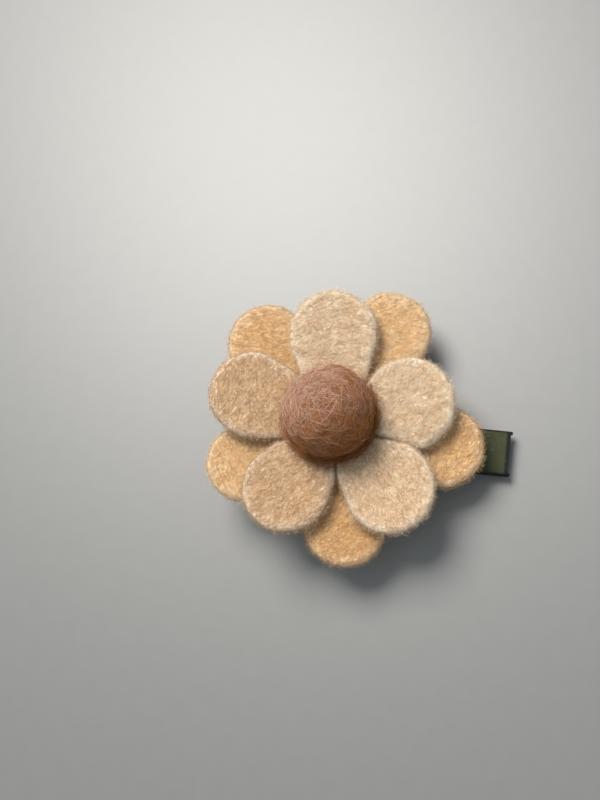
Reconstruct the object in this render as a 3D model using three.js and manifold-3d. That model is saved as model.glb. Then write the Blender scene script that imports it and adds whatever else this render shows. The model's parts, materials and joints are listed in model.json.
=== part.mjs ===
// Felt flower hair clip: a needle-felted wool ball and two rings of felt petals on a round felt base,
// glued on a flat sprung steel clip. Millimetres, +Z up, +X towards the clip's nose. The clip lies as it
// does on a table, on its lower jaw's nose and on the end of its thumb lever.
import * as THREE from "three";
import { mergeVertices } from "three/addons/utils/BufferGeometryUtils.js";
import Module from "manifold-3d";

const wasm = await Module();
wasm.setup();

// ---- Clip: driving dimensions. Heights are measured from the flat top face of the upper jaw. ----
const noseReach = 31; // hinge pin to the front end of the upper jaw
const leverReach = 15; // hinge pin to the rear end of both levers
const clipWidth = 8; // outside width of the upper jaw
const sheet = 0.5; // thickness of the sheet steel
const foldRadius = 0.6; // outside radius of the folded edges
const leverCornerRadius = 2.4; // rounded corners of both levers
const noseCornerRadius = 0.3;
const noseRecess = 0.3; // the plate's end sits this far back between its folded sides
const upperSideAtHinge = 2.5; // depth of the upper jaw's folded sides, at the hinge
const upperSideAtNose = 1.3; // and at the nose
const jawSideGap = 0.3; // lower jaw's sides to the inside of the upper jaw's
const closedGap = 0.3; // lower jaw's teeth to the upper jaw's plate when the clip is shut
const lowerJawSetback = 0.5; // the lower jaw's nose ends this far behind the upper one's
const noseStack = 3; // both jaws together at the nose
const leverFall = 2.7; // drop of the lower lever from the hinge to its end
const hingeFlat = 2.2; // half length of the lower jaw's level stretch under the pin
const toothCount = 8;
const toothPitch = 1.7;
const toothDepth = 0.8;

const pinRadius = 0.75;
const pinClearance = 0.08;
const earWall = 1.05; // metal left round the pin's hole
const rivetHeadRadius = 1.35;
const rivetHeadHeight = 0.45;
const rivetHeadGap = 0.1;

const wireDiameter = 0.7;
const coilClearance = 0.15; // coil's inside to the pin
const coilTurns = 4.5;
const coilTurnGap = 0.1;
const coilToPlate = 0.5; // coil to the upper plate over it
const coilToWeb = 0.6; // and to the lower plate under it
const springLegReach = 9; // pin to the ends of both spring legs
const legClearance = 0.12; // spring leg to the plate it presses on

// ---- Flower: driving dimensions. ----
const flowerX = 0.3; // flower's centre, forward of the pin
const flowerY = 1.6; // and to the side
const feltThickness = 2.2;
const feltEdgeRadius = 0.7;
const discRadius = 13;
const discThickness = 1.2;
const glueThickness = 0.25;
const glueGap = 0.1; // each layer to the glue that holds it
const clipGlueLength = 20;
const clipGlueMargin = 0.9; // clip's edge to the glue's edge
const ringGlueRadius = 4.5;
const ballGlueRadius = 4;
const petalRootDistance = 2.5; // centre of a petal's small inner end
const petalRootRadius = 3.8;
const petalFlat = 7; // the petals lie flat this far from the ring's middle, then rise
const petalSeam = 0.3; // between neighbouring petals of one ring
const petalHoleRadius = 1.6; // the petals' inner ends stop short of the middle

// Five petals to a ring, each cut by hand, so each is a little off its even place and size:
// turn is in degrees from its even place, longer and wider are added to the ring's reach and end radius.
const lowerRing = {
  name: "lower_petal_",
  x: 0.1,
  y: 0.4,
  phase: -6,
  reach: 25.4,
  endRadius: 7.1,
  lift: 3,
  petals: [
    { place: "right", turn: -2, longer: 0.7, wider: 0 },
    { place: "top_right", turn: 0, longer: 0.3, wider: 0.3 },
    { place: "top_left", turn: 0, longer: 0.7, wider: 0.1 },
    { place: "lower_left", turn: 1, longer: -0.7, wider: -0.2 },
    { place: "bottom", turn: -1, longer: 0.1, wider: 0.1 },
  ],
};
const upperRing = {
  name: "upper_petal_",
  x: -0.1,
  y: -0.5,
  phase: 24,
  reach: 22.6,
  endRadius: 7.7,
  lift: 10,
  petals: [
    { place: "right", turn: -4, longer: -1, wider: 0.4 },
    { place: "top", turn: 1, longer: 1.1, wider: 0.1 },
    { place: "left", turn: -1, longer: 0.4, wider: -0.1 },
    { place: "lower_left", turn: 1, longer: -0.6, wider: 0 },
    { place: "lower_right", turn: 4, longer: 0.5, wider: 0 },
  ],
};

const ballX = -0.7;
const ballY = 0.2;
const ballRadius = 7.9;
const ballHalfHeight = 7.4; // it is pressed a little flat
const ballBaseDrop = 5.2; // flat base below the ball's widest level

// ---- Values that follow from the sizes above. ----
const coilRadius = pinRadius + coilClearance + wireDiameter / 2;
const coilOutside = coilRadius + wireDiameter / 2;
const pinDrop = sheet + coilToPlate + coilOutside; // pin's centre below the top face
const webDrop = pinDrop + coilOutside + coilToWeb + sheet; // lower jaw's outside face at the hinge
const leverDrop = webDrop + leverFall;
const leverSlope = leverFall / (leverReach - hingeFlat);
const lowerWidth = clipWidth - 2 * (sheet + jawSideGap);
const earRadius = pinRadius + pinClearance + earWall;
const lowerEarRadius = Math.min(earRadius, pinDrop - sheet - closedGap);
const restTilt = Math.atan2(leverDrop - noseStack, leverReach + noseReach - lowerJawSetback);
const discBase = 2 * glueGap + glueThickness;
const lowerRingBase = discBase + discThickness + 2 * glueGap + glueThickness;
const upperRingBase = lowerRingBase + feltThickness + 2 * glueGap + glueThickness;
const ballBase = upperRingBase + feltThickness + 2 * glueGap + glueThickness;
const far = 4 * (noseReach + leverReach); // past every piece, for cutting solids

// ---- Materials. ----
const paint = (color, roughness, metalness) =>
  new THREE.MeshStandardMaterial({ color, roughness, metalness });
const paintedSteel = paint(0x464b34, 0.45, 0.3);
const plainSteel = paint(0xb9bbbd, 0.3, 1);
const upperFelt = paint(0xe4cfae, 0.95, 0);
const lowerFelt = paint(0xe2bb84, 0.95, 0);
const baseFelt = paint(0xdcc39a, 0.95, 0);
const wool = paint(0x9a7462, 0.95, 0);
const setGlue = paint(0xe9e3cf, 0.4, 0);

// ---- Geometry helpers. ----
// A three.js geometry as a solid that can be joined and cut.
function solidOf(geometry) {
  const bare = geometry.index ? geometry.toNonIndexed() : geometry.clone();
  for (const name of Object.keys(bare.attributes)) {
    if (name !== "position") bare.deleteAttribute(name);
  }
  const merged = mergeVertices(bare, 1e-4);
  const vertProperties = merged.attributes.position.array;
  const triVerts = new Uint32Array(merged.index.array);
  return new wasm.Manifold(new wasm.Mesh({ numProp: 3, vertProperties, triVerts }));
}

function geometryOf(solid) {
  const cut = solid.getMesh();
  const geometry = new THREE.BufferGeometry();
  geometry.setAttribute("position", new THREE.BufferAttribute(cut.vertProperties, 3));
  geometry.setIndex(new THREE.BufferAttribute(cut.triVerts, 1));
  const faceted = geometry.toNonIndexed();
  faceted.computeVertexNormals();
  return faceted;
}

function piece(name, geometry, material) {
  const mesh = new THREE.Mesh(geometry, material);
  mesh.name = name;
  return mesh;
}

const shapeThrough = (points) => new THREE.Shape(points.map(([x, y]) => new THREE.Vector2(x, y)));

// A side outline, x along the clip and y up, as a slab centred across the clip. A round above 0
// rounds the slab's long edges, as a fold does.
function slabAcross(outline, width, round = 0) {
  const geometry = new THREE.ExtrudeGeometry(outline, {
    depth: width - 2 * round,
    bevelEnabled: round > 0,
    bevelThickness: round,
    bevelSize: round,
    bevelOffset: -round,
    bevelSegments: 4,
    curveSegments: 10,
  });
  geometry.rotateX(Math.PI / 2);
  geometry.translate(0, width / 2 - round, 0);
  return geometry;
}

// A flat felt or glue layer: a plan outline, thick upwards from z = 0, with softly rounded edges.
function layer(outline, thickness, round, curveSegments) {
  const geometry = new THREE.ExtrudeGeometry(outline, {
    depth: thickness - 2 * round,
    bevelEnabled: round > 0,
    bevelThickness: round,
    bevelSize: round,
    bevelOffset: -round,
    bevelSegments: 2,
    curveSegments,
  });
  geometry.translate(0, 0, round);
  return geometry;
}

function disc(radius, thickness, round) {
  const outline = new THREE.Shape().absarc(0, 0, radius, 0, 2 * Math.PI);
  return layer(outline, thickness, round, 20);
}

function roundedBar(x0, x1, halfWidth, radiusAt0, radiusAt1) {
  const bar = new THREE.Shape();
  bar.moveTo(x0 + radiusAt0, -halfWidth);
  bar.absarc(x1 - radiusAt1, -halfWidth + radiusAt1, radiusAt1, -Math.PI / 2, 0);
  bar.absarc(x1 - radiusAt1, halfWidth - radiusAt1, radiusAt1, 0, Math.PI / 2);
  bar.absarc(x0 + radiusAt0, halfWidth - radiusAt0, radiusAt0, Math.PI / 2, Math.PI);
  bar.absarc(x0 + radiusAt0, -halfWidth + radiusAt0, radiusAt0, Math.PI, 1.5 * Math.PI);
  return bar;
}

// Everything inside a plan outline, as a tall solid.
function column(outline) {
  const geometry = new THREE.ExtrudeGeometry(outline, {
    depth: 2 * far,
    bevelEnabled: false,
    curveSegments: 8,
  });
  geometry.translate(0, 0, -far);
  return geometry;
}

function pinHole() {
  const radius = pinRadius + pinClearance;
  const geometry = new THREE.CylinderGeometry(radius, radius, far, 32);
  geometry.translate(0, 0, -pinDrop);
  return solidOf(geometry);
}

// ---- Upper jaw: a flat plate with both long sides folded down, and an ear for the pin on each. ----
function upperJaw() {
  const past = 2 * clipWidth; // the blank runs past both ends and below, and is then cut to size
  const blank = slabAcross(
    shapeThrough([
      [-leverReach - past, -past],
      [noseReach + past, -past],
      [noseReach + past, 0],
      [-leverReach - past, 0],
    ]),
    clipWidth,
    foldRadius,
  );
  const inside = slabAcross(
    shapeThrough([
      [-far, -far],
      [far, -far],
      [far, -sheet],
      [-far, -sheet],
    ]),
    clipWidth - 2 * sheet,
  );
  const side = new THREE.Shape();
  side.moveTo(-leverReach, 1);
  side.lineTo(-leverReach, -sheet);
  side.lineTo(-earRadius, -sheet);
  side.absarc(0, -pinDrop, earRadius, Math.PI, 2 * Math.PI);
  side.lineTo(earRadius, -Math.min(upperSideAtHinge, pinDrop));
  side.lineTo(noseReach, -upperSideAtNose);
  side.lineTo(noseReach, 1);
  const plan = roundedBar(
    -leverReach,
    noseReach,
    clipWidth / 2 + 0.01,
    leverCornerRadius,
    noseCornerRadius,
  );
  const recess = new THREE.BoxGeometry(2 * noseRecess, clipWidth - 2 * sheet, 4 * sheet);
  recess.translate(noseReach, 0, 0);
  return geometryOf(
    solidOf(blank)
      .subtract(solidOf(inside))
      .intersect(solidOf(slabAcross(side, 2 * clipWidth)))
      .intersect(solidOf(column(plan)))
      .subtract(solidOf(recess))
      .subtract(pinHole()),
  );
}

// ---- Lower jaw: a narrower plate that rises to the nose and drops to a thumb lever behind the hinge,
// with its sides folded up inside the upper jaw's, toothed along the front. ----
function lowerJaw() {
  const noseEnd = noseReach - lowerJawSetback;
  const noseSlope = (webDrop - noseStack) / (noseEnd - hingeFlat);
  // The plate's outside face, run on past both ends, and its inside face a sheet above it.
  const past = 5;
  const face = (lift) => [
    [-leverReach - past, -leverDrop - past * leverSlope + lift],
    [-hingeFlat, -webDrop + lift],
    [hingeFlat, -webDrop + lift],
    [noseEnd + past, -noseStack + past * noseSlope + lift],
  ];
  const top = 4;
  const above = (lift) =>
    shapeThrough([...face(lift), [noseEnd + past, top], [-leverReach - past, top]]);

  // The sides' top edge, from the nose back: teeth, then a plain edge to the ear round the pin.
  const edge = -sheet - closedGap;
  const side = new THREE.Shape();
  side.moveTo(noseEnd, -far);
  side.lineTo(noseEnd, edge - toothDepth);
  for (let tooth = 0; tooth < toothCount; tooth += 1) {
    const x = noseEnd - tooth * toothPitch;
    side.lineTo(x - toothPitch / 2, edge);
    side.lineTo(x - toothPitch, edge - toothDepth);
  }
  side.lineTo(lowerEarRadius, edge - toothDepth);
  side.absarc(0, -pinDrop, lowerEarRadius, Math.PI / 6, Math.PI);
  side.lineTo(-lowerEarRadius, -webDrop + sheet);
  side.lineTo(-hingeFlat, -webDrop + sheet);
  side.lineTo(-leverReach, -leverDrop + sheet);
  side.lineTo(-leverReach, -far);
  const plan = roundedBar(
    -leverReach,
    noseEnd,
    lowerWidth / 2 + 0.01,
    leverCornerRadius,
    noseCornerRadius,
  );
  return geometryOf(
    solidOf(slabAcross(above(0), lowerWidth, foldRadius))
      .subtract(solidOf(slabAcross(above(sheet), lowerWidth - 2 * sheet)))
      .intersect(solidOf(slabAcross(side, 2 * clipWidth)))
      .intersect(solidOf(column(plan)))
      .subtract(pinHole()),
  );
}

// ---- Hinge pin: a rivet with a low round head at each side. ----
function hingePin() {
  const halfShank = clipWidth / 2 + rivetHeadGap;
  const head = (side) => [
    new THREE.Vector2(rivetHeadRadius, side * halfShank),
    new THREE.Vector2(rivetHeadRadius * 0.9, side * (halfShank + 0.55 * rivetHeadHeight)),
    new THREE.Vector2(rivetHeadRadius * 0.6, side * (halfShank + 0.9 * rivetHeadHeight)),
    new THREE.Vector2(0, side * (halfShank + rivetHeadHeight)),
  ];
  const profile = [
    ...head(-1).reverse(),
    new THREE.Vector2(pinRadius, -halfShank),
    new THREE.Vector2(pinRadius, halfShank),
    ...head(1),
  ];
  return new THREE.LatheGeometry(profile, 28);
}

// ---- Torsion spring: a coil on the pin with two straight legs running back, one under the upper plate
// and one on the lever. ----
function torsionSpring() {
  const halfCoil = (coilTurns * (wireDiameter + coilTurnGap)) / 2;
  const legOffset = legClearance + wireDiameter / 2;
  const upperEnd = -sheet - legOffset;
  // The lower leg clears the bend at the root of the lever, and rests on the lever beyond it.
  const overBend = -webDrop + sheet + legOffset;
  const coilBottom = -pinDrop - coilRadius;
  const throughBend = coilBottom - ((coilBottom - overBend) * springLegReach) / hingeFlat;
  const onLever = overBend - (springLegReach - hingeFlat) * leverSlope;
  const lowerEnd = Math.max(throughBend, onLever);
  const upperLean = Math.atan2(upperEnd + pinDrop - coilRadius, springLegReach);
  const lowerLean = Math.atan2(coilBottom - lowerEnd, springLegReach);

  const points = [];
  const legSteps = 5;
  for (let step = 0; step < legSteps; step += 1) {
    const share = 1 - step / legSteps;
    const z = -pinDrop + coilRadius + share * springLegReach * Math.tan(upperLean);
    points.push(new THREE.Vector3(-share * springLegReach, -halfCoil, z));
  }
  const start = Math.PI / 2 + upperLean;
  const turned = (Math.floor(coilTurns) + 0.5) * 2 * Math.PI + upperLean + lowerLean;
  const coilSteps = Math.round(16 * coilTurns);
  for (let step = 0; step <= coilSteps; step += 1) {
    const share = step / coilSteps;
    const angle = start - share * turned;
    const x = coilRadius * Math.cos(angle);
    const z = -pinDrop + coilRadius * Math.sin(angle);
    points.push(new THREE.Vector3(x, -halfCoil + share * 2 * halfCoil, z));
  }
  const leave = points[points.length - 1];
  for (let step = 1; step <= legSteps; step += 1) {
    const share = step / legSteps;
    const x = leave.x - share * (springLegReach + leave.x);
    points.push(new THREE.Vector3(x, halfCoil, leave.z + share * (lowerEnd - leave.z)));
  }
  const wire = new THREE.Shape().absarc(0, 0, wireDiameter / 2, 0, 2 * Math.PI);
  return new THREE.ExtrudeGeometry(wire, {
    steps: 112,
    curveSegments: 4,
    extrudePath: new THREE.CatmullRomCurve3(points, false, "centripetal"),
  });
}

// ---- A petal: a large round end drawn in to a small inner one, flat where it is glued, rising beyond,
// and cut to its own share of the ring. toLeft and toRight are the angles from its middle line to its
// two seams. ----
function petal(reach, endRadius, lift, toLeft, toRight) {
  const length = reach - endRadius - petalRootDistance;
  const tangent = Math.PI / 2 + Math.asin((endRadius - petalRootRadius) / length);
  const outline = new THREE.Shape();
  outline.absarc(reach - endRadius, 0, endRadius, -tangent, tangent);
  outline.absarc(petalRootDistance, 0, petalRootRadius, tangent, 2 * Math.PI - tangent);
  const felt = solidOf(layer(outline, feltThickness, feltEdgeRadius, 12));
  const glued = new THREE.BoxGeometry(2 * petalFlat, far, far);
  const beyond = new THREE.BoxGeometry(far, far, far).translate(petalFlat + far / 2, 0, 0);
  const rising = geometryOf(felt.intersect(solidOf(beyond)));
  rising.translate(-petalFlat, 0, 0);
  rising.rotateY(-THREE.MathUtils.degToRad(lift));
  rising.translate(petalFlat, 0, 0);
  const bent = felt.intersect(solidOf(glued)).add(solidOf(rising));

  // A point along a seam, moved in by half the seam's width.
  const onSeam = (along, angle, side) => [
    along * Math.cos(angle) + (side * petalSeam * Math.sin(angle)) / 2,
    along * Math.sin(angle) - (side * petalSeam * Math.cos(angle)) / 2,
  ];
  const share = shapeThrough([
    onSeam(petalHoleRadius, -toRight, -1),
    onSeam(far, -toRight, -1),
    onSeam(far, toLeft, 1),
    onSeam(petalHoleRadius, toLeft, 1),
  ]);
  return geometryOf(bent.intersect(solidOf(column(share))));
}

function petalRing(ring, material) {
  const group = new THREE.Group();
  const even = 360 / ring.petals.length;
  const angles = ring.petals.map((cut, i) => ring.phase + i * even + cut.turn);
  ring.petals.forEach((cut, i) => {
    const next = i + 1 < angles.length ? angles[i + 1] : angles[0] + 360;
    const before = i > 0 ? angles[i - 1] : angles[angles.length - 1] - 360;
    const toLeft = THREE.MathUtils.degToRad((next - angles[i]) / 2);
    const toRight = THREE.MathUtils.degToRad((angles[i] - before) / 2);
    const endRadius = ring.endRadius + cut.wider;
    const geometry = petal(ring.reach + cut.longer, endRadius, ring.lift, toLeft, toRight);
    const mesh = piece(ring.name + cut.place, geometry, material);
    mesh.rotation.z = THREE.MathUtils.degToRad(angles[i]);
    group.add(mesh);
  });
  group.position.set(ring.x, ring.y, 0);
  return group;
}

// ---- Wool ball: round, pressed a little flat, with a flat glued base. ----
function woolBall() {
  const profile = [new THREE.Vector2(0, 0)];
  const lowest = Math.asin(-ballBaseDrop / ballHalfHeight);
  const rows = 13;
  for (let row = 0; row < rows; row += 1) {
    const angle = lowest + (row / rows) * (Math.PI / 2 - lowest);
    const height = ballBaseDrop + ballHalfHeight * Math.sin(angle);
    profile.push(new THREE.Vector2(ballRadius * Math.cos(angle), height));
  }
  profile.push(new THREE.Vector2(0, ballBaseDrop + ballHalfHeight));
  return new THREE.LatheGeometry(profile, 32).rotateX(Math.PI / 2);
}

// ---- The clip, level, with its top face at z = 0. ----
const clip = new THREE.Group();
clip.add(piece("upper_jaw", upperJaw(), paintedSteel));
clip.add(piece("lower_jaw", lowerJaw(), paintedSteel));
clip.add(piece("torsion_spring", torsionSpring(), plainSteel));
const pin = piece("hinge_pin", hingePin(), plainSteel);
pin.position.z = -pinDrop;
clip.add(pin);

// ---- The flower, stacked up from the clip's top face. ----
const flower = new THREE.Group();
flower.position.set(flowerX, flowerY, 0);

const glueHalf = clipWidth / 2 - clipGlueMargin;
const padOutline = roundedBar(-clipGlueLength / 2, clipGlueLength / 2, glueHalf, 1.5, 1.5);
const clipGlue = piece("clip_glue", layer(padOutline, glueThickness, 0, 6), setGlue);
clipGlue.position.set(0, -flowerY, glueGap);
flower.add(clipGlue);

const backing = piece("backing_disc", disc(discRadius, discThickness, 0.4), baseFelt);
backing.position.z = discBase;
flower.add(backing);

const lowerGlue = piece("lower_ring_glue", disc(ringGlueRadius, glueThickness, 0), setGlue);
lowerGlue.position.set(lowerRing.x, lowerRing.y, lowerRingBase - glueGap - glueThickness);
flower.add(lowerGlue);

const lowerPetals = petalRing(lowerRing, lowerFelt);
lowerPetals.position.z = lowerRingBase;
flower.add(lowerPetals);

const upperGlue = piece("upper_ring_glue", disc(ringGlueRadius, glueThickness, 0), setGlue);
upperGlue.position.set(upperRing.x, upperRing.y, upperRingBase - glueGap - glueThickness);
flower.add(upperGlue);

const upperPetals = petalRing(upperRing, upperFelt);
upperPetals.position.z = upperRingBase;
flower.add(upperPetals);

const ballGlue = piece("ball_glue", disc(ballGlueRadius, glueThickness, 0), setGlue);
ballGlue.position.set(ballX, ballY, ballBase - glueGap - glueThickness);
flower.add(ballGlue);

const ball = piece("felt_ball", woolBall(), wool);
ball.position.set(ballX, ballY, ballBase);
flower.add(ball);

// ---- The whole part: tilted to its rest on the table, its origin at the bottom centre of its box. ----
const tilted = new THREE.Group();
tilted.rotation.y = restTilt;
tilted.add(clip, flower);

const part = new THREE.Group();
part.add(tilted);
part.updateMatrixWorld(true);
const box = new THREE.Box3().setFromObject(part, true);
tilted.position.set(-(box.min.x + box.max.x) / 2, -(box.min.y + box.max.y) / 2, -box.min.z);

export default part;
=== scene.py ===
"""A felt flower hair clip on a pale table: two rings of felt petals and a needle-felted wool ball,
glued on a flat sprung steel clip. Lengths are in millimetres until a mesh is made from them."""

import json
import math

import bpy
import numpy as np
from mathutils import Matrix, Vector

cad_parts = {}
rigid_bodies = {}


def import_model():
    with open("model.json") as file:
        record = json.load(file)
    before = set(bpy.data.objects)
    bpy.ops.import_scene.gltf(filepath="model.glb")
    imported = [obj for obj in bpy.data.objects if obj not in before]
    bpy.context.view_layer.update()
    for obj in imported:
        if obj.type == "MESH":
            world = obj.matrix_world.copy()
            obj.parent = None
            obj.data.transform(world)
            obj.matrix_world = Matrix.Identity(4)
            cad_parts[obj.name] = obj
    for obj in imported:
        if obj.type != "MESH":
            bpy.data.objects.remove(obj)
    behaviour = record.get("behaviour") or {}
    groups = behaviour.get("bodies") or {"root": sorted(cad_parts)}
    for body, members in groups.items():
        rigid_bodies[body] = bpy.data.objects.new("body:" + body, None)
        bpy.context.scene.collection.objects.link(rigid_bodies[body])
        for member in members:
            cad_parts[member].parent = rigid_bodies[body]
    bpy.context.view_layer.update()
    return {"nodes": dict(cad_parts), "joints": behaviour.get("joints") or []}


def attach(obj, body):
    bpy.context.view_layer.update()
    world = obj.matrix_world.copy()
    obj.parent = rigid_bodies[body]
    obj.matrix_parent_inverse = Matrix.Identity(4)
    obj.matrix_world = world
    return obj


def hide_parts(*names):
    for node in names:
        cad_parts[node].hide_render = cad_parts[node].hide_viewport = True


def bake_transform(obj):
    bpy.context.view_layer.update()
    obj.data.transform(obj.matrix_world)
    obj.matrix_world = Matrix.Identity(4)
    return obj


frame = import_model()
hinge = frame["joints"][0]
steady, moving = hinge["parent"], hinge["child"]


# ---- Upper and lower jaw -------------------------------------------------------------------------
# Two long plates pressed from 0.5 mm sheet steel, one inside the other, with their sides folded.
# They are sprayed thinly with olive enamel, and painted shade makes it nearly black along each
# fold.
def corners_of(node):
    """A node's vertices in the table's directions, in millimetres."""
    mesh = frame["nodes"][node].data
    places = np.empty(3 * len(mesh.vertices))
    mesh.vertices.foreach_get("co", places)
    return places.reshape(-1, 3) * 1000


# The clip lies tilted on the table, and the flower stands square on its plate. The flat disc under
# the flower gives that tilt. Everything from here on is laid out in the flower's own directions,
# from the middle of the disc on the clip's top face.
disc = corners_of("backing_disc")
up = np.linalg.svd(disc - disc.mean(0), full_matrices=False)[2][2]
up *= np.sign(up[2])
forward = np.array([1.0, 0, 0]) - up[0] * up
forward /= np.linalg.norm(forward)
directions = np.array([forward, np.cross(up, forward), up])
start = ((disc @ directions.T).min(0) + (disc @ directions.T).max(0)) / 2
start[2] = (corners_of("upper_jaw") @ directions.T)[:, 2].max()


def laid_out(node):
    """A node's vertices in the flower's directions, in millimetres."""
    return corners_of(node) @ directions.T - start


def on_table(points):
    """Points in the flower's directions, back in the table's, in metres."""
    return (np.asarray(points) + start) @ directions / 1000


def linear(code):
    """An sRGB hex colour as linear red, green and blue, with alpha."""
    shares = [int(code[i : i + 2], 16) / 255 for i in (1, 3, 5)]
    return [s / 12.92 if s <= 0.04045 else ((s + 0.055) / 1.055) ** 2.4 for s in shares] + [1]


def substance(name, colour, **sockets):
    """A new material, its node tree and its shader. The sockets are its even values."""
    material = bpy.data.materials.new(name)
    material.use_nodes = True
    shader = material.node_tree.nodes["Principled BSDF"]
    shader.inputs["Base Color"].default_value = linear(colour)
    for socket, value in sockets.items():
        shader.inputs[socket.replace("_", " ")].default_value = value
    return material, material.node_tree, shader.inputs


def add(tree, kind, links=None, values=None, out=0, stops=(), **settings):
    """Adds a node with its settings, its sockets' values, the outputs linked to it and, on a colour
    ramp, its stops. Returns one of its outputs."""
    node = tree.nodes.new("ShaderNode" + kind)
    for setting, value in settings.items():
        setattr(node, setting, value)
    for socket, value in (values or {}).items():
        node.inputs[socket].default_value = value
    for socket, source in (links or {}).items():
        tree.links.new(source, node.inputs[socket])
    for i, (place, colour) in enumerate(stops):
        element = node.color_ramp.elements[i] if i < 2 else node.color_ramp.elements.new(place)
        element.position, element.color = place, linear(colour)
    return node.outputs[out]


PER_MM = 1000  # object coordinates are in metres
FOLD_SHADE_WIDTH = 0.5  # painted shade darkens the enamel this far in from the folds and both ends

# Olive enamel on steel: dull, with a cloudy coat sprayed thinly, a fine orange peel, painted shade
# along the folds and ends, and specks of pale dust.
enamel, tree, sockets = substance("olive_enamel_on_steel", "#3a3d26", IOR=1.5)
sockets["Specular IOR Level"].default_value = 0.3
where = add(tree, "TexCoord", out="Object")
cloud = add(tree, "TexNoise", {"Vector": where}, {"Scale": PER_MM / 2.2, "Detail": 4})
coat = add(tree, "ValToRGB", {0: cloud}, stops=[(0.3, "#31331b"), (0.72, "#3e4127")])
plate = laid_out("upper_jaw")
plate_middle = (plate.min(0) + plate.max(0)) / 2
# Painted shade: the enamel turns near black along the folds and both ends.
for along in (0, 1):
    direction, reach = directions[along], np.ptp(plate[:, along]) / 2
    middle = (direction @ start + plate_middle[along]) / PER_MM
    off = add(tree, "VectorMath", {0: where}, {1: direction}, out="Value", operation="DOT_PRODUCT")
    off = add(tree, "Math", {0: off}, {1: middle}, operation="SUBTRACT")
    off = add(tree, "Math", {0: off}, {1: PER_MM}, operation="MULTIPLY")
    off = add(tree, "Math", {0: off}, operation="ABSOLUTE")
    fold_shade = {"From Min": reach - FOLD_SHADE_WIDTH, "From Max": reach - FOLD_SHADE_WIDTH / 2}
    fold_shade = add(tree, "MapRange", {"Value": off}, fold_shade)
    coat = add(tree, "MixRGB", {"Fac": fold_shade, "Color1": coat}, {"Color2": linear("#0b0b07")})
dust = add(tree, "TexNoise", {"Vector": where}, {"Scale": PER_MM / 0.45, "Detail": 1})
dust = add(tree, "ValToRGB", {0: dust}, stops=[(0.71, "#000000"), (0.77, "#ffffff")])
coat = add(tree, "MixRGB", {"Fac": dust, "Color1": coat}, {"Color2": linear("#5d6152")})
tree.links.new(coat, sockets["Base Color"])
scuff = add(tree, "Mapping", {"Vector": where}, {"Scale": (PER_MM / 2.5, PER_MM / 0.5, PER_MM)})
scuff = add(tree, "TexNoise", {"Vector": scuff}, {"Scale": 1, "Detail": 3})
dull = add(tree, "MapRange", {"Value": scuff}, {"To Min": 0.6, "To Max": 0.8})
tree.links.new(dull, sockets["Roughness"])
peel = add(tree, "TexNoise", {"Vector": where}, {"Scale": PER_MM / 0.35, "Detail": 2})
rounded = add(tree, "Bevel", values={"Radius": 0.1 / PER_MM}, samples=4)
relief = {"Strength": 0.3, "Distance": 0.03 / PER_MM}
peel = add(tree, "Bump", {"Height": peel, "Normal": rounded}, relief)
tree.links.new(peel, sockets["Normal"])
for jaw in ("upper_jaw", "lower_jaw"):
    frame["nodes"][jaw].data.materials.clear()
    frame["nodes"][jaw].data.materials.append(enamel)

# ---- Hinge pin -----------------------------------------------------------------------------------
# A plain steel rivet through both jaws' ears, its round heads formed cold and left bare.
# Headed steel: bright, with the faint rings and pits that the tool leaves.
rivet_steel, tree, sockets = substance("cold_headed_steel", "#b4b5b6", Metallic=1)
where = add(tree, "TexCoord", out="Object")
pits = add(tree, "TexNoise", {"Vector": where}, {"Scale": PER_MM / 0.3, "Detail": 3})
tint = add(tree, "ValToRGB", {0: pits}, stops=[(0.35, "#8d8c89"), (0.7, "#bcbdbe")])
tree.links.new(tint, sockets["Base Color"])
shine = add(tree, "MapRange", {"Value": pits}, {"To Min": 0.26, "To Max": 0.44})
tree.links.new(shine, sockets["Roughness"])
rounded = add(tree, "Bevel", values={"Radius": 0.12 / PER_MM}, samples=4)
relief = {"Strength": 0.3, "Distance": 0.02 / PER_MM}
pits = add(tree, "Bump", {"Height": pits, "Normal": rounded}, relief)
tree.links.new(pits, sockets["Normal"])
frame["nodes"]["hinge_pin"].data.materials.clear()
frame["nodes"]["hinge_pin"].data.materials.append(rivet_steel)

# ---- Torsion spring ------------------------------------------------------------------------------
# 0.7 mm spring wire wound four and a half turns on the pin, with two straight legs that push the
# levers apart.
WIRE = 0.7
COIL_RADIUS = 1.25
COIL_TURNS = 4.5
COIL_PITCH = 0.8
LEG_REACH = 9
UPPER_LEG_RISE = 1.63  # from the pin up to the end of the upper leg
LOWER_LEG_FALL = 3.164  # and down to the end of the lower leg
WIRE_SIDES = 14
COIL_STEPS = 260
LEG_STEPS = 24
CUT_END = 0.8  # the cut ends are broken a little, to this share of the wire


def build(name, points, quads, triangles, materials, tones=None):
    """A closed, smooth mesh from points in the flower's directions. tones picks the material of
    each face, the quads' first."""
    mesh = bpy.data.meshes.new(name)
    loops = np.concatenate([np.ravel(quads), np.ravel(triangles)]).astype(np.int32)
    sizes = np.repeat([4, 3], [len(quads), len(triangles)])
    mesh.vertices.add(len(points))
    mesh.vertices.foreach_set("co", on_table(points).astype(np.float32).ravel())
    mesh.loops.add(len(loops))
    mesh.loops.foreach_set("vertex_index", loops)
    mesh.polygons.add(len(sizes))
    mesh.polygons.foreach_set("loop_start", (np.cumsum(sizes) - sizes).astype(np.int32))
    mesh.polygons.foreach_set("use_smooth", np.ones(len(sizes), bool))
    for material in materials:
        mesh.materials.append(material)
    if tones is not None:
        mesh.polygons.foreach_set("material_index", tones.astype(np.int32))
    mesh.update(calc_edges=True)
    mesh.validate()
    piece = bpy.data.objects.new(name, mesh)
    bpy.context.scene.collection.objects.link(piece)
    return piece


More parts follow.
